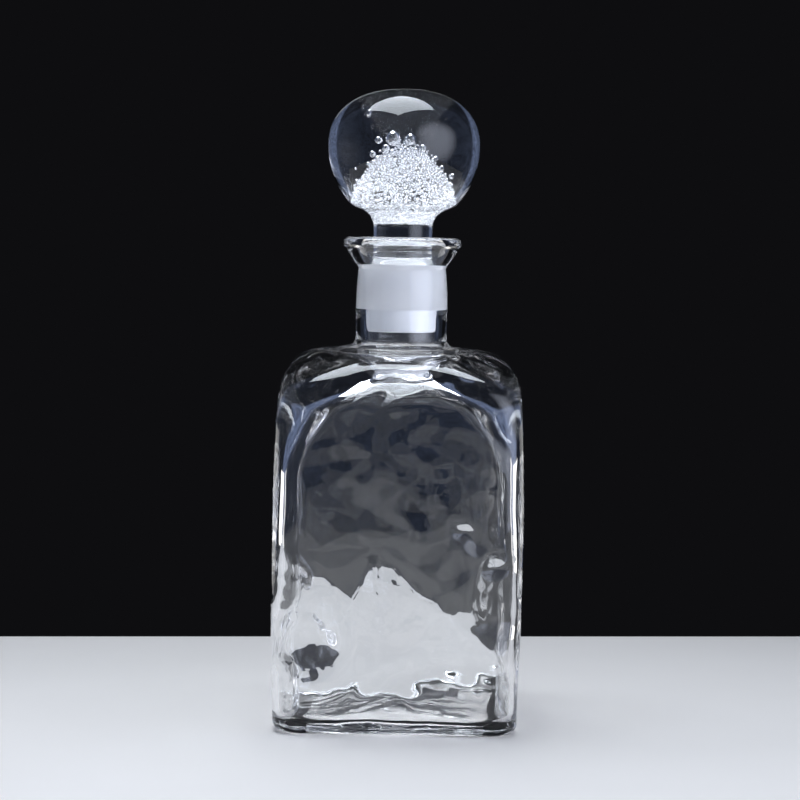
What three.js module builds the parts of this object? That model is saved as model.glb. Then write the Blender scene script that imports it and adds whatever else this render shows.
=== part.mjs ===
// Square blown-glass decanter with a solid ball stopper ground into its neck.
// Millimetres, +Z up. The origin is the middle of the foot, on the surface the decanter stands on.
// Two loose pieces: the bottle, and the stopper that lifts straight out of it.
import * as THREE from 'three';

// Body, outside. A half-width is measured from the axis to the middle of a face.
const BASE_HALF_WIDTH = 47.5;
const WIDEST_HALF_WIDTH = 48.7;
const TOP_HALF_WIDTH = 47.2;
const WIDEST_HEIGHT = 78;
const CORNER_RADIUS = 9;
const FACE_HOLLOW = 1.2; // how far each face sinks between its two edges
const SHOULDER_RADIUS = 15;
const SHOULDER_HEIGHT = 147;
const SHOULDER_RISE = 1.2; // the nearly flat top climbs this much towards the neck
// Where the square section softens towards the round neck, and how late in that stretch it does so
const ROUNDING = { start: 120, end: 147, power: 2.2 };
const CAVITY_ROUNDING = { start: 102, end: 141.5, power: 1.8 };

// Base
const FOOT_EDGE_RADIUS = 4.5;
const FOOT_RING_WIDTH = 7;
const PUSH_UP = 5; // domed underside inside the foot ring
const FLOOR_HEIGHT = 3.6;
const FLOOR_CROWN = 5.2;

// Neck and lip, outside
const NECK_ROOT_FILLET = 4;
const NECK_RADIUS = 18.1;
const NECK_BARREL = 0.15; // extra radius half way up the neck
const WAIST_RADIUS = 17.4;
const WAIST_HEIGHT = 179.9;
const RIM_RADIUS = 2.6; // rounding of the lip's edge
const LIP_RADIUS = 23.6;
const LIP_HEIGHT = 192.2;

// Hollow
const WALL = 4.2;
const CEILING_WALL = 6.4; // glass over the hollow, next to the neck
const CAVITY_CORNER_RADIUS = 6;
const CAVITY_SHOULDER_RADIUS = 16;
const CAVITY_FLOOR_RADIUS = 5;
const BORE_RADIUS = 14.9; // clear bore under the ground socket
const THROAT_FILLET = 13;

// Ground joint: a 1 in 10 taper on the diameter
const TAPER = 1 / 10;
const JOINT_GAP = 0.3;
const PLUG_TOP_RADIUS = 15.1;
const PLUG_TOP_HEIGHT = 182.3;
const PLUG_LENGTH = 27.6;
const SOCKET_LENGTH = 18.8;
const SOCKET_RUNOUT = 4; // below the ground socket, where it narrows into the clear bore

// Stopper above the joint
const PLUG_EDGE_RADIUS = 1.2;
const SHANK_RADIUS = 11.75;
const SHANK_FLARE_HEIGHT = 5; // from the top of the plug in to the shank
const COLLAR_RADIUS = 7.5; // hollow curve between the shank and the ball
const COLLAR_START = 13.8; // height of its lower end above the top of the plug
const COLLAR_SWEEP = 75; // degrees of that curve before the ball takes over
const BALL_RADIUS = 30.35;
const BALL_CENTRE = 45.7; // above the top of the plug
const BALL_RISE = 23; // from its widest level to the top
const BALL_DROP = 31.5; // depth of its lower half, if that half were whole
const BALL_USED_DROP = 23; // where the collar cuts the lower half off
const BALL_FULLNESS = 2.3; // exponent of the upper half: 2 is a plain ellipse

// Facets
const BOTTLE_SEGMENTS = 48;
const STOPPER_SEGMENTS = 40;
const CORNER_CROWDING = 0.5; // how much closer the facets stand at the corners than at the faces
const STEPS = {
  underside: 6,
  footEdge: 4,
  side: 9,
  shoulder: 7,
  neckRoot: 4,
  neck: 5,
  rim: 7,
  throat: 4,
  cavityShoulder: 6,
  cavitySide: 8,
  floorEdge: 5,
  floor: 5,
  plugEdge: 3,
  collar: 4,
  lowerBall: 8,
  crown: 9,
};

const FULL_TURN = 2 * Math.PI;
const QUARTER_TURN = Math.PI / 2;

const bottleGlass = new THREE.MeshStandardMaterial({
  color: 0xe9f0f2,
  roughness: 0.03,
  metalness: 0,
  transparent: true,
  opacity: 0.45,
});
const stopperGlass = new THREE.MeshStandardMaterial({
  color: 0xf4f8fb,
  roughness: 0.03,
  metalness: 0,
  transparent: true,
  opacity: 0.6,
});

// Points of an arc in a profile, from one angle to another. Angle 0 points away from the axis.
function arc(centreWidth, centreHeight, radius, from, to, steps) {
  return Array.from({ length: steps + 1 }, (_, step) => {
    const angle = from + ((to - from) * step) / steps;
    return [centreWidth + radius * Math.cos(angle), centreHeight + radius * Math.sin(angle)];
  });
}

// Points of a profile whose half-width is a function of the height.
function rise(widthAt, from, to, steps) {
  return Array.from({ length: steps + 1 }, (_, step) => {
    const height = from + ((to - from) * step) / steps;
    return [widthAt(height), height];
  });
}

// Points of a profile whose height is a function of the half-width.
function spread(heightAt, from, to, steps) {
  return Array.from({ length: steps + 1 }, (_, step) => {
    const width = from + ((to - from) * step) / steps;
    return [width, heightAt(width)];
  });
}

function blend(from, to, amount) {
  return from + (to - from) * amount;
}

// A soft dome: its full rise on the axis, fading to nothing at its edge.
function swell(rise, width, edge) {
  return (rise * (1 + Math.cos((Math.PI * width) / edge))) / 2;
}

// The sides swell gently between the foot and the shoulder.
function bodyHalfWidth(height) {
  const low = height < WIDEST_HEIGHT;
  const end = low ? BASE_HALF_WIDTH : TOP_HALF_WIDTH;
  const reach = low ? WIDEST_HEIGHT : SHOULDER_HEIGHT - SHOULDER_RADIUS - WIDEST_HEIGHT;
  return WIDEST_HALF_WIDTH - (WIDEST_HALF_WIDTH - end) * ((height - WIDEST_HEIGHT) / reach) ** 2;
}

function cavityHalfWidth(height) {
  return bodyHalfWidth(height) - WALL;
}

function neckRadius(height) {
  const root = SHOULDER_HEIGHT + SHOULDER_RISE + NECK_ROOT_FILLET;
  const climb = (height - root) / (WAIST_HEIGHT - root);
  const taperedIn = blend(NECK_RADIUS, WAIST_RADIUS, climb ** 4);
  return taperedIn + NECK_BARREL * Math.sin(Math.PI * climb);
}

function plugRadius(depth) {
  return PLUG_TOP_RADIUS - (TAPER / 2) * depth;
}

// Outside of the bottle, from the axis under the base up to the lip.
function outsideProfile() {
  const footOuter = bodyHalfWidth(FOOT_EDGE_RADIUS) - FOOT_EDGE_RADIUS;
  const footInner = footOuter - FOOT_RING_WIDTH;
  const underside = (width) => swell(PUSH_UP, width, footInner);
  const shoulderStart = SHOULDER_HEIGHT - SHOULDER_RADIUS;
  const shoulderCentre = TOP_HALF_WIDTH - SHOULDER_RADIUS;
  const rootCentre = NECK_RADIUS + NECK_ROOT_FILLET;
  const rootHeight = SHOULDER_HEIGHT + SHOULDER_RISE + NECK_ROOT_FILLET;
  const rimCentre = LIP_RADIUS - RIM_RADIUS;
  const rimHeight = LIP_HEIGHT - RIM_RADIUS;
  return [
    ...spread(underside, 0, footInner, STEPS.underside),
    ...arc(footOuter, FOOT_EDGE_RADIUS, FOOT_EDGE_RADIUS, -QUARTER_TURN, 0, STEPS.footEdge),
    ...rise(bodyHalfWidth, FOOT_EDGE_RADIUS, shoulderStart, STEPS.side).slice(1),
    ...arc(shoulderCentre, shoulderStart, SHOULDER_RADIUS, 0, QUARTER_TURN, STEPS.shoulder).slice(1),
    ...arc(rootCentre, rootHeight, NECK_ROOT_FILLET, -QUARTER_TURN, -2 * QUARTER_TURN, STEPS.neckRoot),
    ...rise(neckRadius, rootHeight, WAIST_HEIGHT, STEPS.neck).slice(1),
    ...arc(rimCentre, rimHeight, RIM_RADIUS, -QUARTER_TURN / 2, (3 * QUARTER_TURN) / 2, STEPS.rim),
  ];
}

// Inside of the bottle, from the top of the ground socket down to the axis on the floor.
function insideProfile() {
  const socketBottom = PLUG_TOP_HEIGHT - SOCKET_LENGTH;
  const ceiling = SHOULDER_HEIGHT - CEILING_WALL;
  const shoulderStart = ceiling - CAVITY_SHOULDER_RADIUS;
  const shoulderCentre = cavityHalfWidth(shoulderStart) - CAVITY_SHOULDER_RADIUS;
  const throatCentre = BORE_RADIUS + THROAT_FILLET;
  const throatHeight = ceiling + SHOULDER_RISE + THROAT_FILLET;
  const floorStart = FLOOR_HEIGHT + CAVITY_FLOOR_RADIUS;
  const floorCentre = cavityHalfWidth(floorStart) - CAVITY_FLOOR_RADIUS;
  const floor = (width) => FLOOR_HEIGHT + swell(FLOOR_CROWN, width, floorCentre);
  return [
    [plugRadius(0) + JOINT_GAP, PLUG_TOP_HEIGHT],
    [plugRadius(SOCKET_LENGTH) + JOINT_GAP, socketBottom],
    [BORE_RADIUS, socketBottom - SOCKET_RUNOUT],
    ...arc(throatCentre, throatHeight, THROAT_FILLET, -2 * QUARTER_TURN, -QUARTER_TURN, STEPS.throat),
    ...arc(shoulderCentre, shoulderStart, CAVITY_SHOULDER_RADIUS, QUARTER_TURN, 0, STEPS.cavityShoulder),
    ...rise(cavityHalfWidth, shoulderStart, floorStart, STEPS.cavitySide).slice(1),
    ...arc(floorCentre, floorStart, CAVITY_FLOOR_RADIUS, 0, -QUARTER_TURN, STEPS.floorEdge).slice(1),
    ...spread(floor, floorCentre, 0, STEPS.floor).slice(1),
  ];
}

// How square a section is: 1 on the body, falling ever faster to 0 at the end of the rounding.
function squareness(height, rounding) {
  const climb = (height - rounding.start) / (rounding.end - rounding.start);
  return 1 - THREE.MathUtils.clamp(climb, 0, 1) ** rounding.power;
}

// Distance from the axis to the edge of a square with rounded corners, in one direction.
function roundedSquareRadius(halfWidth, corner, angle) {
  const along = Math.max(Math.abs(Math.cos(angle)), Math.abs(Math.sin(angle)));
  const across = Math.min(Math.abs(Math.cos(angle)), Math.abs(Math.sin(angle)));
  const cornerCentre = halfWidth - corner;
  const flat = halfWidth / along;
  if (flat * across <= cornerCentre) {
    return flat;
  }
  const reach = cornerCentre * (along + across);
  return reach + Math.sqrt(reach ** 2 - 2 * cornerCentre ** 2 + corner ** 2);
}

// Where a point of the profile comes to lie when its section is turned from round to square.
function sectionPoint([halfWidth, height], squareCorner, rounding, turn) {
  const square = squareness(height, rounding);
  const angle = FULL_TURN * turn + (CORNER_CROWDING * square * Math.sin(4 * FULL_TURN * turn)) / 4;
  const corner = Math.min(halfWidth, blend(halfWidth, squareCorner, square));
  const hollow = FACE_HOLLOW * square * Math.min(1, halfWidth / TOP_HALF_WIDTH) ** 2;
  const radius = roundedSquareRadius(halfWidth, corner, angle) - hollow * Math.cos(2 * angle) ** 2;
  return [radius * Math.cos(angle), radius * Math.sin(angle)];
}

function bottleGeometry() {
  const outside = outsideProfile();
  const profile = [...outside, ...insideProfile()];
  const outline = profile.map(([width, height]) => new THREE.Vector2(width, height));
  const geometry = new THREE.LatheGeometry(outline, BOTTLE_SEGMENTS);
  const position = geometry.getAttribute('position');
  for (let segment = 0; segment <= BOTTLE_SEGMENTS; segment += 1) {
    const turn = (segment % BOTTLE_SEGMENTS) / BOTTLE_SEGMENTS;
    profile.forEach((point, row) => {
      const isOutside = row < outside.length;
      const squareCorner = isOutside ? CORNER_RADIUS : CAVITY_CORNER_RADIUS;
      const rounding = isOutside ? ROUNDING : CAVITY_ROUNDING;
      const [x, y] = sectionPoint(point, squareCorner, rounding, turn);
      position.setXYZ(segment * profile.length + row, x, y, point[1]);
    });
  }
  geometry.computeVertexNormals();
  return geometry;
}

// Outline of the stopper, from the axis under the plug to the top of the ball.
// Heights are from the top of the ground plug.
function stopperProfile() {
  const edgeCentre = plugRadius(PLUG_LENGTH) - PLUG_EDGE_RADIUS;
  const edgeHeight = PLUG_EDGE_RADIUS - PLUG_LENGTH;
  const collarCentre = SHANK_RADIUS + COLLAR_RADIUS;
  const collarEnd = Math.PI - THREE.MathUtils.degToRad(COLLAR_SWEEP);
  const lowerBall = (height) => BALL_RADIUS * Math.sqrt(1 - ((height - BALL_CENTRE) / BALL_DROP) ** 2);
  return [
    [0, -PLUG_LENGTH],
    ...arc(edgeCentre, edgeHeight, PLUG_EDGE_RADIUS, -QUARTER_TURN, 0, STEPS.plugEdge),
    [plugRadius(0), 0],
    [SHANK_RADIUS, SHANK_FLARE_HEIGHT],
    ...arc(collarCentre, COLLAR_START, COLLAR_RADIUS, Math.PI, collarEnd, STEPS.collar),
    ...rise(lowerBall, BALL_CENTRE - BALL_USED_DROP, BALL_CENTRE, STEPS.lowerBall),
    ...crown(),
  ];
}

// Upper half of the ball, fuller than an ellipse, from its widest level to the axis.
function crown() {
  const power = 2 / BALL_FULLNESS;
  const flank = Array.from({ length: STEPS.crown - 1 }, (_, step) => {
    const angle = (QUARTER_TURN * (step + 1)) / STEPS.crown;
    return [BALL_RADIUS * Math.cos(angle) ** power, BALL_CENTRE + BALL_RISE * Math.sin(angle) ** power];
  });
  return [...flank, [0, BALL_CENTRE + BALL_RISE]];
}

function stopperGeometry() {
  const outline = stopperProfile().map(([width, height]) => new THREE.Vector2(width, height));
  const geometry = new THREE.LatheGeometry(outline, STOPPER_SEGMENTS);
  geometry.rotateX(QUARTER_TURN);
  return geometry;
}

function part(name, geometry, material) {
  const mesh = new THREE.Mesh(geometry, material);
  mesh.name = name;
  return mesh;
}

const decanter = new THREE.Group();
decanter.add(part('bottle', bottleGeometry(), bottleGlass));

const stopper = part('stopper', stopperGeometry(), stopperGlass);
stopper.position.z = PLUG_TOP_HEIGHT;
decanter.add(stopper);

export default decanter;
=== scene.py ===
import math
import random

import bpy
import numpy as np
from mathutils import Matrix, Vector, noise


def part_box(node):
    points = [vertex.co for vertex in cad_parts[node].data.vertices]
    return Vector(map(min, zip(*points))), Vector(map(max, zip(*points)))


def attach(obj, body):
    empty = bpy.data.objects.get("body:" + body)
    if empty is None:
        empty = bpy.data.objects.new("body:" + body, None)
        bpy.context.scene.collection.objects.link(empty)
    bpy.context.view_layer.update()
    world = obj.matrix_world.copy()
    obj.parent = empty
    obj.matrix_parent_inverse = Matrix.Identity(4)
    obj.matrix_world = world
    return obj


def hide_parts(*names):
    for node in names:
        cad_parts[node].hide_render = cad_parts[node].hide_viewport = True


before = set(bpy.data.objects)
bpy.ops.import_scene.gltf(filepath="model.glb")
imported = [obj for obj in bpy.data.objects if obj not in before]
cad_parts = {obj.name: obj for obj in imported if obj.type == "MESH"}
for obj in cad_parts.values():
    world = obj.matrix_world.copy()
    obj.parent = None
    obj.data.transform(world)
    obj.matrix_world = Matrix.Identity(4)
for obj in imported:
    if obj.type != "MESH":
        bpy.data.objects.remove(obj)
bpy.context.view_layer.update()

# Shapes are worked out in millimetres and made in metres, in the frame of the CAD model.
MM = 0.001
_, bottle_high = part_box("bottle")
stopper_low, stopper_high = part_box("stopper")

# Body, outside
LIP_HEIGHT = bottle_high.z / MM
WIDEST_HALF_WIDTH = 48.7
BASE_HALF_WIDTH = 47.5
TOP_HALF_WIDTH = 47.2
WIDEST_HEIGHT = 78
CORNER_RADIUS = 9
FACE_HOLLOW = 1.2
SHOULDER_RADIUS = 15
SHOULDER_HEIGHT = 147
SHOULDER_RISE = 1.2
# Where the square section softens towards the round neck: (start, end, how late it does so)
ROUNDING = (120, 147, 2.2)
CAVITY_ROUNDING = (102, 141.5, 1.8)
ROUNDING_LEAN = 3

# Base
FOOT_EDGE_RADIUS = 4.5
FOOT_RING_WIDTH = 7
PUSH_UP = 5.0
FLOOR_HEIGHT = 3.6
FLOOR_CROWN = 5.2

# Neck and lip
NECK_ROOT_FILLET = 4
NECK_RADIUS = 18.1
NECK_BARREL = 0.15
WAIST_RADIUS = 17.4
WAIST_HEIGHT = 179.9
RIM_RADIUS = 2.6
LIP_RADIUS = 23.6
RIM_TUCK = 0.3  # how far the lip's straight underside stops short of the rim's rounding
FUNNEL_CURVE = 1.35
FUNNEL_STEPS = 8

# Hollow
WALL = 4.2
CEILING_WALL = 6.4
CAVITY_CORNER_RADIUS = 6
CAVITY_SHOULDER_RADIUS = 16
CAVITY_FLOOR_RADIUS = 5
BORE_RADIUS = 14.9
THROAT_FILLET = 13

# Ground joint
TAPER = 1 / 10
JOINT_GAP = 0.3
PLUG_TOP_RADIUS = 15.1
PLUG_TOP_HEIGHT = 182.3
PLUG_FOOT_HEIGHT = stopper_low.z / MM
SOCKET_LENGTH = 18.8
SOCKET_RUNOUT = 4  # below the ground socket, where it narrows into the clear bore

# Stopper above the joint
PLUG_EDGE_RADIUS = 1.2
SHANK_RADIUS = 11.75
SHANK_START = 187.3
COLLAR_RADIUS = 7.5
COLLAR_START = 196.1
COLLAR_SWEEP = math.radians(75)
BALL_RADIUS = stopper_high.x / MM
BALL_CENTRE = 228.0
BALL_RISE = stopper_high.z / MM - BALL_CENTRE
BALL_DROP = 31.5
BALL_USED_DROP = 23
BALL_FULLNESS = 2.3

QUARTER = math.pi / 2
LIP_UNDER = LIP_RADIUS - RIM_RADIUS + RIM_RADIUS * math.cos(QUARTER / 2) - RIM_TUCK
LIP_UNDER_RISE = LIP_HEIGHT - RIM_RADIUS - RIM_RADIUS * math.sin(QUARTER / 2) - RIM_TUCK - WAIST_HEIGHT
LIP_SLOPE = LIP_UNDER_RISE / (LIP_UNDER - WAIST_RADIUS)


# ---------------------------------------------------------------- profiles

def arc(centre_width, centre_height, radius, start, end, step=0.8):
    """Points along an arc of a section; angle 0 points away from the axis."""
    count = max(3, round(abs(end - start) * radius / step))
    angles = np.linspace(start, end, count + 1)
    return [(centre_width + radius * math.cos(a), centre_height + radius * math.sin(a)) for a in angles]


def rise(width_at, start, end, step):
    """Points whose half-width is a function of the height."""
    count = max(2, round(abs(end - start) / step))
    return [(width_at(h), h) for h in np.linspace(start, end, count + 1)]


def spread(height_at, start, end, step):
    """Points whose height is a function of the half-width."""
    count = max(2, round(abs(end - start) / step))
    return [(w, height_at(w)) for w in np.linspace(start, end, count + 1)]


def smooth(low, high, value):
    t = np.clip((value - low) / (high - low), 0.0, 1.0)
    return t * t * (3 - 2 * t)


def swell(height, width, edge):
    return height * (1 + math.cos(math.pi * width / edge)) / 2


def body_half_width(height):
    low = height < WIDEST_HEIGHT
    end = BASE_HALF_WIDTH if low else TOP_HALF_WIDTH
    reach = WIDEST_HEIGHT if low else SHOULDER_HEIGHT - SHOULDER_RADIUS - WIDEST_HEIGHT
    return WIDEST_HALF_WIDTH - (WIDEST_HALF_WIDTH - end) * ((height - WIDEST_HEIGHT) / reach) ** 2


def cavity_half_width(height):
    return body_half_width(height) - WALL


def neck_radius(height):
    root = SHOULDER_HEIGHT + SHOULDER_RISE + NECK_ROOT_FILLET
    climb = (height - root) / (WAIST_HEIGHT - root)
    return NECK_RADIUS + (WAIST_RADIUS - NECK_RADIUS) * climb ** 4 + NECK_BARREL * math.sin(math.pi * climb)


def top_height(width):
    """Height of the nearly flat shoulder top."""
    start, end = TOP_HALF_WIDTH - SHOULDER_RADIUS, NECK_RADIUS + NECK_ROOT_FILLET
    return SHOULDER_HEIGHT + SHOULDER_RISE * smooth(start, end, width)


def plug_radius(height):
    return PLUG_TOP_RADIUS - TAPER / 2 * (PLUG_TOP_HEIGHT - height)


def outside_profile():
    foot_outer = body_half_width(FOOT_EDGE_RADIUS) - FOOT_EDGE_RADIUS
    foot_inner = foot_outer - FOOT_RING_WIDTH
    shoulder_start = SHOULDER_HEIGHT - SHOULDER_RADIUS
    root = SHOULDER_HEIGHT + SHOULDER_RISE + NECK_ROOT_FILLET
    rim_height = LIP_HEIGHT - RIM_RADIUS
    rim_centre = LIP_RADIUS - RIM_RADIUS
    return [
        *spread(lambda w: swell(PUSH_UP, w, foot_inner), 0, foot_inner, 2.5),
        *spread(lambda w: 0.0, foot_inner, foot_outer, 2)[1:],
        *arc(foot_outer, FOOT_EDGE_RADIUS, FOOT_EDGE_RADIUS, -QUARTER, 0)[1:],
        *rise(body_half_width, FOOT_EDGE_RADIUS, shoulder_start, 1.6)[1:],
        *arc(TOP_HALF_WIDTH - SHOULDER_RADIUS, shoulder_start, SHOULDER_RADIUS, 0, QUARTER)[1:],
        *spread(top_height, TOP_HALF_WIDTH - SHOULDER_RADIUS, NECK_RADIUS + NECK_ROOT_FILLET, 1.2)[1:],
        *arc(NECK_RADIUS + NECK_ROOT_FILLET, root, NECK_ROOT_FILLET, -QUARTER, -2 * QUARTER)[1:],
        *rise(neck_radius, root, WAIST_HEIGHT, 1.2)[1:],
        *spread(lambda w: WAIST_HEIGHT + (w - WAIST_RADIUS) * LIP_SLOPE, WAIST_RADIUS, LIP_UNDER, 1)[1:],
        *arc(rim_centre, rim_height, RIM_RADIUS, -QUARTER / 2, 1.5 * QUARTER, 0.45),
    ]


def funnel_profile():
    """From the rim's inner edge down to the top of the ground socket."""
    top_width = LIP_RADIUS - RIM_RADIUS + RIM_RADIUS * math.cos(1.5 * QUARTER)
    top = LIP_HEIGHT - RIM_RADIUS + RIM_RADIUS * math.sin(1.5 * QUARTER)
    foot_width = plug_radius(PLUG_TOP_HEIGHT) + JOINT_GAP
    points = []
    for i in range(1, FUNNEL_STEPS):
        t = i / FUNNEL_STEPS
        width = foot_width + (top_width - foot_width) * (1 - t) ** FUNNEL_CURVE
        points.append((width, top + (PLUG_TOP_HEIGHT - top) * t))
    return points


def socket_profile():
    return rise(lambda h: plug_radius(h) + JOINT_GAP, PLUG_TOP_HEIGHT, PLUG_TOP_HEIGHT - SOCKET_LENGTH, 1.2)


def inside_profile():
    socket_foot = PLUG_TOP_HEIGHT - SOCKET_LENGTH
    ceiling = SHOULDER_HEIGHT - CEILING_WALL
    shoulder_start = ceiling - CAVITY_SHOULDER_RADIUS
    shoulder_centre = cavity_half_width(shoulder_start) - CAVITY_SHOULDER_RADIUS
    throat = ceiling + SHOULDER_RISE + THROAT_FILLET
    floor_start = FLOOR_HEIGHT + CAVITY_FLOOR_RADIUS
    floor_centre = cavity_half_width(floor_start) - CAVITY_FLOOR_RADIUS
    socket_width = plug_radius(socket_foot) + JOINT_GAP

    def bore_width(height):
        narrowed = smooth(socket_foot, socket_foot - SOCKET_RUNOUT, height)
        return socket_width + (BORE_RADIUS - socket_width) * narrowed

    return [
        *rise(bore_width, socket_foot, throat, 1.0)[1:],
        *arc(BORE_RADIUS + THROAT_FILLET, throat, THROAT_FILLET, -2 * QUARTER, -QUARTER)[1:],
        *spread(lambda w: ceiling + SHOULDER_RISE * smooth(shoulder_centre, BORE_RADIUS + THROAT_FILLET, w),
                BORE_RADIUS + THROAT_FILLET, shoulder_centre, 1.3)[1:],
        *arc(shoulder_centre, shoulder_start, CAVITY_SHOULDER_RADIUS, QUARTER, 0)[1:],
        *rise(cavity_half_width, shoulder_start, floor_start, 1.6)[1:],
        *arc(floor_centre, floor_start, CAVITY_FLOOR_RADIUS, 0, -QUARTER)[1:],
        *spread(lambda w: FLOOR_HEIGHT + swell(FLOOR_CROWN, w, floor_centre), floor_centre, 0, 1.8)[1:],
    ]


# ---------------------------------------------------------------- surfaces of revolution

def squareness(height, lean, rounding):
    """1 where the section is square, 0 where it is round; lean is -1 at the left side and 1 at the right."""
    start, end, power = rounding
    start = start + ROUNDING_LEAN * lean
    return 1 - np.clip((height - start) / (end - start), 0.0, 1.0) ** power


def rounded_square(half_width, corner, angle):
    """Distance from the axis to a square with rounded corners, for an array of directions."""
    along = np.maximum(abs(np.cos(angle)), abs(np.sin(angle)))
    across = np.minimum(abs(np.cos(angle)), abs(np.sin(angle)))
    centre = half_width - corner
    flat = half_width / along
    reach = centre * (along + across)
    bend = reach + np.sqrt(np.maximum(reach ** 2 - 2 * centre ** 2 + corner ** 2, 0.0))
    return np.where(flat * across <= centre, flat, bend)


def square_ring(half_width, height, corner, rounding, turns):
    square = squareness(height, np.cos(2 * math.pi * turns), rounding)
    angle = 2 * math.pi * turns + CROWDING * square * np.sin(8 * math.pi * turns) / 4
    corner = np.minimum(half_width, half_width + (corner - half_width) * square)
    hollow = FACE_HOLLOW * square * min(1.0, half_width / TOP_HALF_WIDTH) ** 2
    radius = rounded_square(half_width, corner, angle) - hollow * np.cos(2 * angle) ** 2
    return np.stack([radius * np.cos(angle), radius * np.sin(angle), np.full_like(angle, height)], axis=1)


def round_ring(radius, height, turns):
    angle = 2 * math.pi * turns
    return np.stack([radius * np.cos(angle), radius * np.sin(angle), np.full_like(angle, height)], axis=1)


def grid_normals(grid):
    along = np.gradient(grid, axis=0)
    around = np.roll(grid, -1, axis=1) - np.roll(grid, 1, axis=1)
    normals = np.cross(around, along)
    length = np.linalg.norm(normals, axis=2, keepdims=True)
    return normals / np.maximum(length, 1e-9)


SWIRL_SHIFT = Vector((9.3, 2.1, -4.7))


def ripple(points, waves, offset):
    """Sum of swirling noise waves, each (amplitude, length, swirl), at an array of points."""
    total = np.zeros(len(points))
    for number, (amplitude, length, swirl) in enumerate(waves):
        shift = Vector((offset + 17.3 * number, offset * 0.7, 5.1 * number))
        for index, point in enumerate(points):
            place = Vector(point) / length + shift
            low = place * 0.5
            bend = Vector((noise.noise(low), noise.noise(low + SWIRL_SHIFT), noise.noise(low - SWIRL_SHIFT)))
            total[index] += amplitude * noise.noise(place + bend * swirl)
    return total


def grid_faces(grid, face_material):
    """Vertices, faces and slots of a closed surface whose first and last rows are points on the axis."""
    rows, columns = grid.shape[:2]
    body = grid[1:-1].reshape(-1, 3)
    vertices = np.concatenate([grid[0, :1], body, grid[-1, :1]]) * MM
    last = len(vertices) - 1
    faces = []
    slots = []
    for row in range(rows - 1):
        for column in range(columns):
            after = (column + 1) % columns
            low = 1 + (row - 1) * columns
            high = low + columns
            if row == 0:
                faces.append((0, high + after, high + column))
            elif row == rows - 2:
                faces.append((low + column, low + after, last))
            else:
                faces.append((low + column, low + after, high + after, high + column))
            slots.append(face_material[row])
    return vertices, faces, slots


def make_mesh(name, vertices, faces, materials, slots):
    mesh = bpy.data.meshes.new(name)
    mesh.from_pydata([tuple(v) for v in vertices], [], faces)
    for material in materials:
        mesh.materials.append(material)
    mesh.polygons.foreach_set("material_index", slots)
    mesh.polygons.foreach_set("use_smooth", [True] * len(faces))
    mesh.update()
    made = bpy.data.objects.new(name, mesh)
    bpy.context.scene.collection.objects.link(made)
    return made


# ---------------------------------------------------------------- materials

GLASS_INDEX = 1.52
FROTH_INDEX = 1.9  # bubbles too small to show their own outline are given brighter walls


def principled(name):
    material = bpy.data.materials.new(name)
    material.use_nodes = True
    nodes = material.node_tree.nodes
    return material, nodes, material.node_tree.links, nodes["Principled BSDF"]


def noise_node(nodes, links, scale, detail=2.0, stretch=(1, 1, 1)):
    coordinates = nodes.new("ShaderNodeTexCoord")
    mapping = nodes.new("ShaderNodeMapping")
    mapping.inputs["Scale"].default_value = stretch
    texture = nodes.new("ShaderNodeTexNoise")
    texture.inputs["Scale"].default_value = scale
    texture.inputs["Detail"].default_value = detail
    links.new(coordinates.outputs["Object"], mapping.inputs["Vector"])
    links.new(mapping.outputs["Vector"], texture.inputs["Vector"])
    return texture


def ramp(nodes, links, source, low, high):
    node = nodes.new("ShaderNodeValToRGB")
    node.color_ramp.elements[0].position = 0.35
    node.color_ramp.elements[0].color = (*low, 1)
    node.color_ramp.elements[1].position = 0.65
    node.color_ramp.elements[1].color = (*high, 1)
    links.new(source, node.inputs["Fac"])
    return node.outputs["Color"]


def map_range(nodes, links, source, from_min, from_max, to_min=0.0, to_max=1.0, kind="SMOOTHSTEP"):
    node = nodes.new("ShaderNodeMapRange")
    node.interpolation_type = kind
    node.inputs["From Min"].default_value = from_min
    node.inputs["From Max"].default_value = from_max
    node.inputs["To Min"].default_value = to_min
    node.inputs["To Max"].default_value = to_max
    links.new(source, node.inputs["Value"])
    return node.outputs["Result"]


def clear_glass(name, tint_low, tint_high, bump_strength, index=GLASS_INDEX):
    material, nodes, links, shader = principled(name)
    shader.inputs["Transmission Weight"].default_value = 1.0
    shader.inputs["IOR"].default_value = index
    cloud = noise_node(nodes, links, 40)
    links.new(ramp(nodes, links, cloud.outputs["Fac"], tint_low, tint_high), shader.inputs["Base Color"])
    smear = noise_node(nodes, links, 90, 3, (1, 1, 0.5))
    level = nodes.new("ShaderNodeMapRange")
    level.inputs["From Min"].default_value = 0.45
    level.inputs["From Max"].default_value = 0.75
    level.inputs["To Min"].default_value = 0.0
    level.inputs["To Max"].default_value = 0.02
    links.new(smear.outputs["Fac"], level.inputs["Value"])
    links.new(level.outputs["Result"], shader.inputs["Roughness"])
    cords = noise_node(nodes, links, 160, 3, (1, 1, 0.4))
    bump = nodes.new("ShaderNodeBump")
    bump.inputs["Strength"].default_value = bump_strength
    bump.inputs["Distance"].default_value = 0.0002
    links.new(cords.outputs["Fac"], bump.inputs["Height"])
    links.new(bump.outputs["Normal"], shader.inputs["Normal"])
    return material


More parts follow.
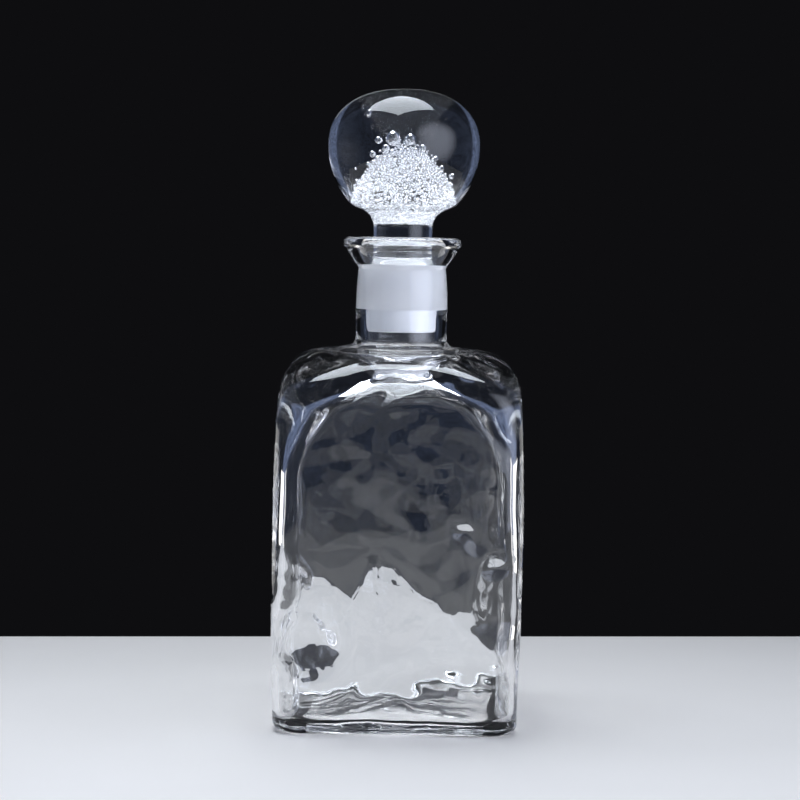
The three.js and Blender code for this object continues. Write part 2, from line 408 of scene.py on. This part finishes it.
def ground_glass(name):
    material, nodes, links, shader = principled(name)
    shader.inputs["Transmission Weight"].default_value = 0.08
    shader.inputs["IOR"].default_value = GLASS_INDEX
    cloud = noise_node(nodes, links, 120, 3)
    white = ramp(nodes, links, cloud.outputs["Fac"], (0.95, 0.95, 0.95), (0.985, 0.985, 0.98))
    links.new(white, shader.inputs["Base Color"])
    level = nodes.new("ShaderNodeMapRange")
    level.inputs["To Min"].default_value = 0.7
    level.inputs["To Max"].default_value = 0.85
    links.new(cloud.outputs["Fac"], level.inputs["Value"])
    links.new(level.outputs["Result"], shader.inputs["Roughness"])
    grain = noise_node(nodes, links, 2200, 2, (1, 1, 1))
    bump = nodes.new("ShaderNodeBump")
    bump.inputs["Strength"].default_value = 0.4
    bump.inputs["Distance"].default_value = 0.00005
    links.new(grain.outputs["Fac"], bump.inputs["Height"])
    links.new(bump.outputs["Normal"], shader.inputs["Normal"])
    return material


# ---------------------------------------------------------------- bottle

CROWDING = 0.35  # how much closer the columns stand at the corners than at the faces
BOTTLE_COLUMNS = 248
OUTER_WAVES = ((0.60, 40, 1.0), (0.20, 17, 1.5), (0.035, 6.5, 1.5))
INNER_WAVES = ((1.10, 38, 1.5), (0.28, 14, 2.0), (0.07, 5, 2.0))

CALMER_NECK = 0.75  # share of the waves that the neck and lip lack
CORNER_WAVES = 0.35  # share of the inner waves that reach the corners

# Lobes of thicker glass low in the walls. Each has its highest point at one x and falls away to both sides:
# (x of the peak, its height, slope to the left, slope to the right, depth to full thickness, thickness).
FRONT_LOBES = ((-9, 70, 2.5, 0.80, 42, 3.8), (-50, 77, 2.5, 0.80, 42, 3.8))
BACK_LOBES = ((-9, 57, 2.5, 0.80, 40, 4.8), (-50, 63, 2.5, 0.80, 40, 4.8))
# Lumps of glass on the inside of the front wall: (x, height, reach across, reach up, reach down, thickness)
FRONT_LUMPS = (
    (-31, 36, 11, 13, 9, 3.4), (38, 46, 8, 30, 8, 2.0), (26, 79, 3.4, 3.0, 3.0, 2.2),
    (31, 75, 2.4, 2.4, 2.4, 1.5), (38, 66, 3, 3, 3, 2.0), (22, 82, 1.6, 1.6, 1.6, 0.7),
)
LOBE_FULLNESS = 1.6
LOBE_EDGE_WAVES = ((2.6, 4.2, 1.5), (1.6, 11, 1.5))  # how raggedly the lobes begin
LOBE_BULGE = 0.25  # share of the lobes' thickness that also shows on the outside


def lobe(x, z, peak, top, left_slope, right_slope, depth, thickness):
    beside = x - peak
    edge = top - np.where(beside < 0, -left_slope, right_slope) * beside
    return thickness * (1 - (1 - np.clip((edge - z) / depth, 0.0, 1.0)) ** LOBE_FULLNESS)


def flatness(points):
    """1 in the middle of a face, 0 at the corners."""
    x, y = abs(points[:, :, 0]), abs(points[:, :, 1])
    return smooth(0.72, 0.86, np.maximum(x, y) / np.maximum(np.hypot(x, y), 1e-6))


def lobes(points):
    """Extra thickness of the front and back walls."""
    x, y, z = points[:, :, 0], points[:, :, 1], points[:, :, 2]
    z = z + ripple(points.reshape(-1, 3), LOBE_EDGE_WAVES, 63.0).reshape(z.shape)
    front = np.maximum(*(lobe(x, z, *numbers) for numbers in FRONT_LOBES))
    for middle, height, across, up, down, thickness in FRONT_LUMPS:
        above = (z - height) / np.where(z > height, up, down)
        front = front + thickness * np.exp(-((x - middle) / across) ** 2 - above ** 2)
    back = np.maximum(*(lobe(x, z, *numbers) for numbers in BACK_LOBES))
    return np.where(y < 0, front, back)


def build_bottle(clear, ground):
    outside = outside_profile()
    funnel = funnel_profile()
    socket = socket_profile()
    inside = inside_profile()
    profile = outside + funnel + socket + inside
    turns = np.arange(BOTTLE_COLUMNS) / BOTTLE_COLUMNS
    grid = np.array([
        square_ring(w, h, CORNER_RADIUS, ROUNDING, turns) if row < len(outside)
        else square_ring(w, h, CAVITY_CORNER_RADIUS, CAVITY_ROUNDING, turns)
        for row, (w, h) in enumerate(profile)
    ])
    normals = grid_normals(grid)
    heights = grid[:, :, 2]
    outer_rows = np.arange(len(profile)) < len(outside)
    foot_free = smooth(0.5, 9, heights)
    calm_neck = 1 - CALMER_NECK * smooth(SHOULDER_HEIGHT - 3, SHOULDER_HEIGHT + 6, heights)
    outer_amount = foot_free * calm_neck
    inner_amount = 1 - smooth(SHOULDER_HEIGHT - 12, SHOULDER_HEIGHT + 8, heights)
    outer = ripple(grid[outer_rows].reshape(-1, 3), OUTER_WAVES, 3.7).reshape(-1, BOTTLE_COLUMNS)
    inner = ripple(grid[~outer_rows].reshape(-1, 3), INNER_WAVES, 41.9).reshape(-1, BOTTLE_COLUMNS)
    inner = inner * (CORNER_WAVES + (1 - CORNER_WAVES) * flatness(grid[~outer_rows]))
    push = np.concatenate([outer * outer_amount[outer_rows], inner * inner_amount[~outer_rows]])
    push[0] = push[-1] = 0
    squeeze = lobes(grid) * np.where(outer_rows[:, None], LOBE_BULGE * smooth(1, 24, heights), -1.0)
    grid = grid + normals * push[:, :, None]
    grid[:, :, 1] *= 1 + squeeze / WIDEST_HALF_WIDTH
    socket_start = len(outside) + len(funnel)
    face_material = [
        1 if socket_start <= row < socket_start + len(socket) - 1 else 0 for row in range(len(profile) - 1)
    ]
    vertices, faces, slots = grid_faces(grid, face_material)
    return make_mesh("bottle_glass", vertices, faces, [clear, ground], slots)


# ---------------------------------------------------------------- stopper

STOPPER_COLUMNS = 128
STOPPER_WAVES = ((0.5, 45, 1), (0.05, 16, 1))

# The mound of bubbles stands on an inner gather: a dome that starts GATHER_TOP above the ball's widest level
GATHER_RADIUS = 16.8
GATHER_TOP = 0.5
GATHER_CURVE = 0.069
FROTH_CELL = 1.7  # side of the boxes in which near bubbles are looked up
SKIN = 0.4  # glass left between a bubble and the surface
SPACING = 1.03
TRIES_PER_BUBBLE = 12
COAT_DEPTH = 2.4
COAT_SHARE = 0.82  # of the coat's bubbles lie within that depth
COAT_DEEPEST = 9.0
COAT_TOP_SHARE = 0.55  # of the coat's bubbles are placed from the dome down, the rest from the sides in
COAT_SIDE_GAP = 0.9
COAT_FOOT = 198.5
FRINGE_BUBBLES = 170
COAT_BUBBLES = 5600
FROTH_RADIUS = 0.6  # smaller bubbles are froth
FROTH_SQUASH = 0.78
LARGE_SQUASH = 0.97
BUBBLE_DETAIL = (0.47, 0.9)  # radii from which bubbles get a finer and the finest mesh
# (x, y, height above the ball's widest level, radius)
LARGE_BUBBLES = (
    (-3.05, -1.5, 2.4, 2.2), (1.5, -1.5, 2.2, 1.75), (-6.8, -1.2, 1.9, 1.1), (-5.0, -2.6, -0.3, 1.2),
    (-8.6, -2.0, -2.0, 1.0), (-6.9, -2.8, -1.9, 0.9), (5.3, -3.0, -1.5, 0.6), (8.2, -2.0, -3.2, 0.75),
    (13.3, -1.0, -8.2, 0.95), (-13.7, -2.0, -6.5, 0.5), (-9.6, 0.0, 7.2, 0.85), (3.6, -2.0, 18.6, 0.7),
    (-1.8, 4.0, 1.6, 1.3), (4.2, 5.5, 0.0, 1.1), (-6.0, 7.0, -2.6, 0.9), (9.0, 5.0, -5.0, 0.8),
    (-0.9, -5.2, -1.2, 0.9), (3.2, -4.6, -0.9, 0.8), (-3.4, -5.6, -1.6, 1.0), (0.5, 2.6, 1.4, 1.0),
)


def gather_height(radius):
    return BALL_CENTRE + GATHER_TOP - GATHER_CURVE * radius ** 2


def flare_radius(height):
    climb = (height - PLUG_TOP_HEIGHT) / (SHANK_START - PLUG_TOP_HEIGHT)
    return SHANK_RADIUS + (PLUG_TOP_RADIUS - SHANK_RADIUS) * (1 - climb) ** 2


def lower_ball(height):
    return BALL_RADIUS * math.sqrt(1 - ((height - BALL_CENTRE) / BALL_DROP) ** 2)


def stopper_profile():
    """The stopper's outline as (radius, height), and how many of its points belong to the ground plug."""
    edge_centre = plug_radius(PLUG_FOOT_HEIGHT) - PLUG_EDGE_RADIUS
    edge_height = PLUG_FOOT_HEIGHT + PLUG_EDGE_RADIUS
    collar_centre = SHANK_RADIUS + COLLAR_RADIUS
    plug = [
        *spread(lambda w: PLUG_FOOT_HEIGHT, 0, edge_centre, 1.6),
        *arc(edge_centre, edge_height, PLUG_EDGE_RADIUS, -QUARTER, 0, 0.3)[1:],
        *rise(plug_radius, edge_height, PLUG_TOP_HEIGHT, 1.2)[1:],
    ]
    power = 2 / BALL_FULLNESS
    crown = [
        (BALL_RADIUS * math.cos(a) ** power, BALL_CENTRE + BALL_RISE * math.sin(a) ** power)
        for a in np.linspace(0, QUARTER, 40)[1:-1]
    ]
    rest = [
        *rise(flare_radius, PLUG_TOP_HEIGHT, SHANK_START, 0.7)[1:],
        *rise(lambda h: SHANK_RADIUS, SHANK_START, COLLAR_START, 1.2)[1:],
        *arc(collar_centre, COLLAR_START, COLLAR_RADIUS, math.pi, math.pi - COLLAR_SWEEP, 0.6)[1:],
        *rise(lower_ball, BALL_CENTRE - BALL_USED_DROP, BALL_CENTRE, 0.9),
        *crown,
        (0, BALL_CENTRE + BALL_RISE),
    ]
    return plug + rest, len(plug)


def unit_ball(detail):
    """Vertices and faces of a ball of radius 1 from an icosahedron, facing inward, as a bubble does."""
    golden = (1 + math.sqrt(5)) / 2
    corners = []
    for a in (-1, 1):
        for b in (-golden, golden):
            corners += [Vector((0, a, b)), Vector((a, b, 0)), Vector((b, 0, a))]
    corners = [corner.normalized() for corner in corners]
    edge = min((corners[0] - other).length for other in corners[1:]) * 1.01
    faces = []
    for a in range(12):
        for b in range(a + 1, 12):
            for c in range(b + 1, 12):
                sides = (corners[a] - corners[b], corners[b] - corners[c], corners[c] - corners[a])
                if max(side.length for side in sides) < edge:
                    outward = (corners[b] - corners[a]).cross(corners[c] - corners[a]).dot(corners[a]) > 0
                    faces.append((a, c, b) if outward else (a, b, c))
    for _ in range(detail):
        middles = {}

        def middle(a, b):
            key = (min(a, b), max(a, b))
            if key not in middles:
                middles[key] = len(corners)
                corners.append((corners[a] + corners[b]).normalized())
            return middles[key]

        finer = []
        for a, b, c in faces:
            ab, bc, ca = middle(a, b), middle(b, c), middle(c, a)
            finer += [(a, ab, ca), (ab, b, bc), (ca, bc, c), (ab, bc, ca)]
        faces = finer
    return np.array(corners), np.array(faces)


class Froth:
    """Bubbles that keep clear of each other and of the glass surface, as (x, y, z, radius) in millimetres."""

    def __init__(self, outline):
        self.widths = [w for w, _ in outline]
        self.heights = [h for _, h in outline]
        self.large = []
        self.small = {}
        self.placed = []

    def width_at(self, height):
        return np.interp(height, self.heights, self.widths)

    def cell(self, place):
        return tuple(int(c // FROTH_CELL) for c in place)

    def neighbours(self, place):
        yield from self.large
        i, j, k = self.cell(place)
        for a in (i - 1, i, i + 1):
            for b in (j - 1, j, j + 1):
                for c in (k - 1, k, k + 1):
                    yield from self.small.get((a, b, c), ())

    def add(self, x, y, z, radius):
        if math.hypot(x, y) + radius > self.width_at(z) - SKIN:
            return
        for other in self.neighbours((x, y, z)):
            if math.dist((x, y, z), other[:3]) < (radius + other[3]) * SPACING:
                return
        bubble = (x, y, z, radius)
        self.placed.append(bubble)
        if radius > FROTH_CELL / 2:
            self.large.append(bubble)
        else:
            self.small.setdefault(self.cell((x, y, z)), []).append(bubble)

    def fill(self, count, draw):
        wanted = len(self.placed) + count
        for _ in range(count * TRIES_PER_BUBBLE):
            if len(self.placed) >= wanted:
                return
            self.add(*draw())


def bubble_places(outline):
    """A dense coat of bubbles on the inner gather of the stopper, and a few large ones over it."""
    froth = Froth(outline)
    rng = random.Random(20)
    for x, y, height, radius in LARGE_BUBBLES:
        froth.add(x, y, BALL_CENTRE + height, radius)

    def fringe():
        radius = GATHER_RADIUS * math.sqrt(rng.random())
        angle = rng.uniform(0, 2 * math.pi)
        size = 0.25 + 0.6 * rng.random() ** 3
        height = gather_height(radius) + rng.uniform(0.2, 1.4)
        return radius * math.cos(angle), radius * math.sin(angle), height, size

    def coat():
        if rng.random() < COAT_SHARE:
            depth = COAT_DEPTH * rng.random() ** 1.4
        else:
            depth = rng.uniform(COAT_DEPTH, COAT_DEEPEST)
        angle = rng.uniform(0, 2 * math.pi)
        size = 0.27 + 0.27 * rng.random() ** 1.6
        if rng.random() < COAT_TOP_SHARE:
            radius = GATHER_RADIUS * math.sqrt(rng.random())
            height = gather_height(radius) - depth
        else:
            height = rng.uniform(COAT_FOOT, gather_height(GATHER_RADIUS))
            radius = max(0.0, min(GATHER_RADIUS, froth.width_at(height) - COAT_SIDE_GAP) - depth)
        height = max(height, COAT_FOOT)
        return radius * math.cos(angle), radius * math.sin(angle), height, size

    froth.fill(FRINGE_BUBBLES, fringe)
    froth.fill(COAT_BUBBLES, coat)
    return froth.placed


def add_bubbles(outline, vertices, faces, slots):
    """The stopper's vertices, faces and slots with every bubble's own closed, inward surface added."""
    balls = {detail: unit_ball(detail) for detail in (0, 1, 2)}
    rng = random.Random(7)
    vertices = [vertices]
    count = len(vertices[0])
    for x, y, z, r in bubble_places(outline):
        corners, triangles = balls[sum(r >= limit for limit in BUBBLE_DETAIL)]
        stretch = 1 + rng.uniform(-0.1, 0.1)
        squash = FROTH_SQUASH if r < FROTH_RADIUS else LARGE_SQUASH
        shaped = corners * r * np.array((stretch, 1 / stretch, squash)) + (x, y, z)
        vertices.append(shaped * MM)
        faces += (triangles + count).tolist()
        slots += [2 if r < FROTH_RADIUS else 0] * len(triangles)
        count += len(corners)
    return np.concatenate(vertices), faces, slots


def build_stopper(clear, ground, froth):
    outline, plug_count = stopper_profile()
    turns = np.arange(STOPPER_COLUMNS) / STOPPER_COLUMNS
    grid = np.array([round_ring(w, h, turns) for w, h in outline])
    face_material = [1 if row < plug_count - 1 else 0 for row in range(len(outline) - 1)]
    ball_amount = smooth(BALL_CENTRE - 26, BALL_CENTRE - 12, grid[:, :, 2])
    push = ripple(grid.reshape(-1, 3), STOPPER_WAVES, 77.1).reshape(-1, STOPPER_COLUMNS)
    push[0] = push[-1] = 0
    grid = grid + grid_normals(grid) * (push * ball_amount)[:, :, None]
    vertices, faces, slots = add_bubbles(outline, *grid_faces(grid, face_material))
    return make_mesh("stopper_glass", vertices, faces, [clear, ground, froth], slots)


# ---------------------------------------------------------------- stage

EYE_DISTANCE = 1.0
EYE_HEIGHT = 0.201
EYE_PITCH = math.radians(4.23)
EYE_ROLL = math.radians(1.0)
LENS = 112.5
TABLE_BACK = 0.184
TABLE_TURN = math.radians(5.9)
TABLE_HALF_WIDTH = 0.6
TABLE_FRONT = -0.7
TABLE_DEPTH = 0.02
TABLE_SHADE = (0.20, -0.35, 0.44, 0.90)  # painted shade standing in for the light's falloff towards the back: from y, to y, and how pale the table is painted at each
UNDER_BOTTLE = (0.050, 0.042)  # radius of the painted pool of light under the bottle, outside and inside its soft edge
UNDER_BOTTLE_PAINTED_LIGHT = 0.97

OVERHEAD_PLACE = Vector((-0.06, 0.08, 0.85))
OVERHEAD_SIZE = (0.56, 0.56)
OVERHEAD_TURN = math.radians(40)
OVERHEAD_LEVEL = 7.7
FILL_LEVEL = 2.0
FILL_RAISE = 0.01
OVERHEAD_COLOUR = (0.84, 0.91, 1.0)
CARD_PLACE = (0.36, 0.19, 0.055)
CARD_AIM = (0, 0, 0.08)
CARD_SIZE = (0.26, 0.12)
CARD_LEVEL = 1.5
CARD_COLOUR = (1.0, 0.98, 0.95)


def build_camera():
    camera = bpy.data.objects.new("camera", bpy.data.cameras.new("camera"))
    camera.data.lens = LENS
    camera.data.sensor_width = 36
    camera.data.clip_start = 0.01
    turn = Matrix.Rotation(QUARTER - EYE_PITCH, 4, "X") @ Matrix.Rotation(EYE_ROLL, 4, "Z")
    camera.matrix_world = Matrix.Translation((0, -EYE_DISTANCE, EYE_HEIGHT)) @ turn
    bpy.context.scene.collection.objects.link(camera)
    bpy.context.scene.camera = camera


def build_table():
    """A pale table, its back edge a little turned, with painted shade darker to the back and a painted pool
    of light under the bottle.
    """
    material, nodes, links, shader = principled("table_cloth")
    cloud = noise_node(nodes, links, 6, 3)
    weave = ramp(nodes, links, cloud.outputs["Fac"], (0.97, 0.92, 0.86), (1.0, 0.95, 0.89))
    place = nodes.new("ShaderNodeTexCoord")
    parts = nodes.new("ShaderNodeSeparateXYZ")
    links.new(place.outputs["Object"], parts.inputs["Vector"])
    # painted shade: the table's colour darkens towards its back edge
    shade = map_range(nodes, links, parts.outputs["Y"], *TABLE_SHADE, "LINEAR")
    reach = nodes.new("ShaderNodeVectorMath")
    reach.operation = "LENGTH"
    links.new(place.outputs["Object"], reach.inputs[0])
    # painted light: a paler disc under the bottle, standing in for light that comes through the glass
    painted_light_under_bottle = map_range(nodes, links, reach.outputs["Value"], *UNDER_BOTTLE)
    lift = nodes.new("ShaderNodeMapRange")
    lift.inputs["To Max"].default_value = UNDER_BOTTLE_PAINTED_LIGHT
    links.new(painted_light_under_bottle, lift.inputs["Value"])
    links.new(shade, lift.inputs["To Min"])
    blend = nodes.new("ShaderNodeVectorMath")
    blend.operation = "SCALE"
    links.new(weave, blend.inputs[0])
    links.new(lift.outputs["Result"], blend.inputs["Scale"])
    links.new(blend.outputs[0], shader.inputs["Base Color"])
    shader.inputs["Roughness"].default_value = 0.9
    shader.inputs["Specular IOR Level"].default_value = 0.1
    left, right = -TABLE_HALF_WIDTH, TABLE_HALF_WIDTH
    corners = [(left, TABLE_FRONT), (right, TABLE_FRONT), (right, TABLE_BACK), (left, TABLE_BACK)]
    pivot = Vector((0, TABLE_BACK, 0))
    turn = Matrix.Rotation(TABLE_TURN, 3, "Z")
    vertices = [turn @ (Vector((x, y, z)) - pivot) + pivot for z in (0, -TABLE_DEPTH) for x, y in corners]
    faces = [(0, 1, 2, 3), (7, 6, 5, 4), (0, 4, 5, 1), (1, 5, 6, 2), (2, 6, 7, 3), (3, 7, 4, 0)]
    table = make_mesh("table", vertices, faces, [material], [0] * 6)
    for polygon in table.data.polygons:
        polygon.use_smooth = False
    return table


def area_light(name, place, aim, size, radiance, colour, lit=()):
    data = bpy.data.lights.new(name, "AREA")
    data.shape = "RECTANGLE"
    data.size, data.size_y = size
    data.energy = radiance * math.pi * size[0] * size[1]
    data.color = colour
    lamp = bpy.data.objects.new(name, data)
    direction = Vector(aim) - Vector(place)
    lamp.rotation_euler = direction.to_track_quat("-Z", "Y").to_euler()
    lamp.location = place
    lamp.visible_camera = False
    bpy.context.scene.collection.objects.link(lamp)
    if lit:
        group = bpy.data.collections.new(name)
        for made in lit:
            group.objects.link(made)
        lamp.light_linking.receiver_collection = group


def build_lights(bottle, table):
    """A soft box overhead, a fill for bottle and table only, and two low cards that light only the bottle."""
    below = Vector((OVERHEAD_PLACE.x, OVERHEAD_PLACE.y, 0))
    above = OVERHEAD_PLACE + Vector((0, 0, FILL_RAISE))
    area_light("overhead", OVERHEAD_PLACE, below, OVERHEAD_SIZE, OVERHEAD_LEVEL, OVERHEAD_COLOUR)
    area_light("overhead_fill", above, below, OVERHEAD_SIZE, FILL_LEVEL, OVERHEAD_COLOUR, [bottle, table])
    for name in ("overhead", "overhead_fill"):
        bpy.data.objects[name].rotation_euler.z += OVERHEAD_TURN
    across, back, height = CARD_PLACE
    for side in (-1, 1):
        place = (side * across, back, height)
        area_light("side_card", place, CARD_AIM, CARD_SIZE, CARD_LEVEL, CARD_COLOUR, [bottle])


# The camera sees a plain backdrop past the table. Only the glass and the table see the pale room in front and
# beside, and the large soft window to the right of the camera.
BACKDROP = (0.0044, 0.0044, 0.0052)
ROOM_EDGE = (0.63, 0.54)  # how far towards +Y a direction points where the room has faded out, and is whole
ROOM_FLATTEN = 0.45  # the room's edge leans in this much overhead
ROOM_LEVEL = 0.17
ROOM_COLOUR = (0.55, 0.71, 1.18)
CLUTTER = {"Scale": 16, "Detail": 8, "Distortion": 2.5}
CLUTTER_CONTRAST = (0.34, 0.66, 0.4, 1.6)
WINDOW_AZIMUTH = 53
WINDOW_CLIMB = 11
WINDOW_EDGE = (38, 3)  # degrees from its middle where the window starts, and where it is brightest
WINDOW_LEVEL = 3.2
WINDOW_COLOUR = (0.84, 0.90, 1.08)
DARK_LEVEL = 0.005


def vector_node(nodes, links, operation, vector, other=None):
    node = nodes.new("ShaderNodeVectorMath")
    node.operation = operation
    links.new(vector, node.inputs[0])
    if other is not None:
        node.inputs[1].default_value = other
    return node


def scaled(nodes, links, amount, colour):
    node = nodes.new("ShaderNodeVectorMath")
    node.operation = "SCALE"
    node.inputs[0].default_value = colour
    links.new(amount, node.inputs["Scale"])
    return node.outputs[0]


def room_light(nodes, links, direction):
    """The pale, mottled room on the camera's side of the decanter."""
    flattened = vector_node(nodes, links, "MULTIPLY", direction, (1, 1, ROOM_FLATTEN)).outputs[0]
    heading = vector_node(nodes, links, "NORMALIZE", flattened).outputs[0]
    around = nodes.new("ShaderNodeSeparateXYZ")
    links.new(heading, around.inputs["Vector"])
    room = map_range(nodes, links, around.outputs["Y"], *ROOM_EDGE, 0.0, ROOM_LEVEL)
    clutter = nodes.new("ShaderNodeTexNoise")
    for name, value in CLUTTER.items():
        clutter.inputs[name].default_value = value
    links.new(direction, clutter.inputs["Vector"])
    mottled = nodes.new("ShaderNodeMath")
    mottled.operation = "MULTIPLY"
    links.new(room, mottled.inputs[0])
    links.new(map_range(nodes, links, clutter.outputs["Fac"], *CLUTTER_CONTRAST), mottled.inputs[1])
    return scaled(nodes, links, mottled.outputs[0], ROOM_COLOUR)


def window_light(nodes, links, direction):
    azimuth, climb = math.radians(WINDOW_AZIMUTH), math.radians(WINDOW_CLIMB)
    middle = (math.sin(azimuth) * math.cos(climb), -math.cos(azimuth) * math.cos(climb), math.sin(climb))
    toward = vector_node(nodes, links, "DOT_PRODUCT", direction, middle).outputs["Value"]
    edge, bright = (math.cos(math.radians(angle)) for angle in WINDOW_EDGE)
    level = map_range(nodes, links, toward, edge, bright, DARK_LEVEL, DARK_LEVEL + WINDOW_LEVEL)
    return scaled(nodes, links, level, WINDOW_COLOUR)


def build_world():
    """A pale room and a soft window light the glass. The camera itself sees a plain dark backdrop."""
    world = bpy.data.worlds.new("studio")
    world.use_nodes = True
    nodes, links = world.node_tree.nodes, world.node_tree.links
    direction = nodes.new("ShaderNodeTexCoord").outputs["Generated"]
    both = nodes.new("ShaderNodeVectorMath")
    links.new(room_light(nodes, links, direction), both.inputs[0])
    links.new(window_light(nodes, links, direction), both.inputs[1])
    behind = nodes.new("ShaderNodeMix")
    behind.data_type = "RGBA"
    behind.inputs["B"].default_value = (*BACKDROP, 1)
    links.new(nodes.new("ShaderNodeLightPath").outputs["Is Camera Ray"], behind.inputs["Factor"])
    links.new(both.outputs[0], behind.inputs["A"])
    links.new(behind.outputs["Result"], nodes["Background"].inputs["Color"])
    bpy.context.scene.world = world


# ---------------------------------------------------------------- scene

scene = bpy.context.scene
scene.view_settings.view_transform = "Standard"
scene.cycles.max_bounces = 48
scene.cycles.transmission_bounces = 48
scene.cycles.glossy_bounces = 24
scene.cycles.diffuse_bounces = 24
scene.cycles.blur_glossy = 0.0

build_camera()
table = build_table()
build_world()

ground = ground_glass("ground_glass")
bottle = build_bottle(clear_glass("bottle_glass", (0.985, 0.99, 0.99), (1, 1, 1), 0.15), ground)
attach(bottle, "bottle")
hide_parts("bottle")
build_lights(bottle, table)

froth = clear_glass("bubble_walls", (0.99, 0.995, 0.995), (1, 1, 1), 0.05, FROTH_INDEX)
stopper = build_stopper(clear_glass("stopper_glass", (0.995, 0.995, 0.995), (1, 1, 1), 0.05), ground, froth)
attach(stopper, "stopper")
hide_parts("stopper")
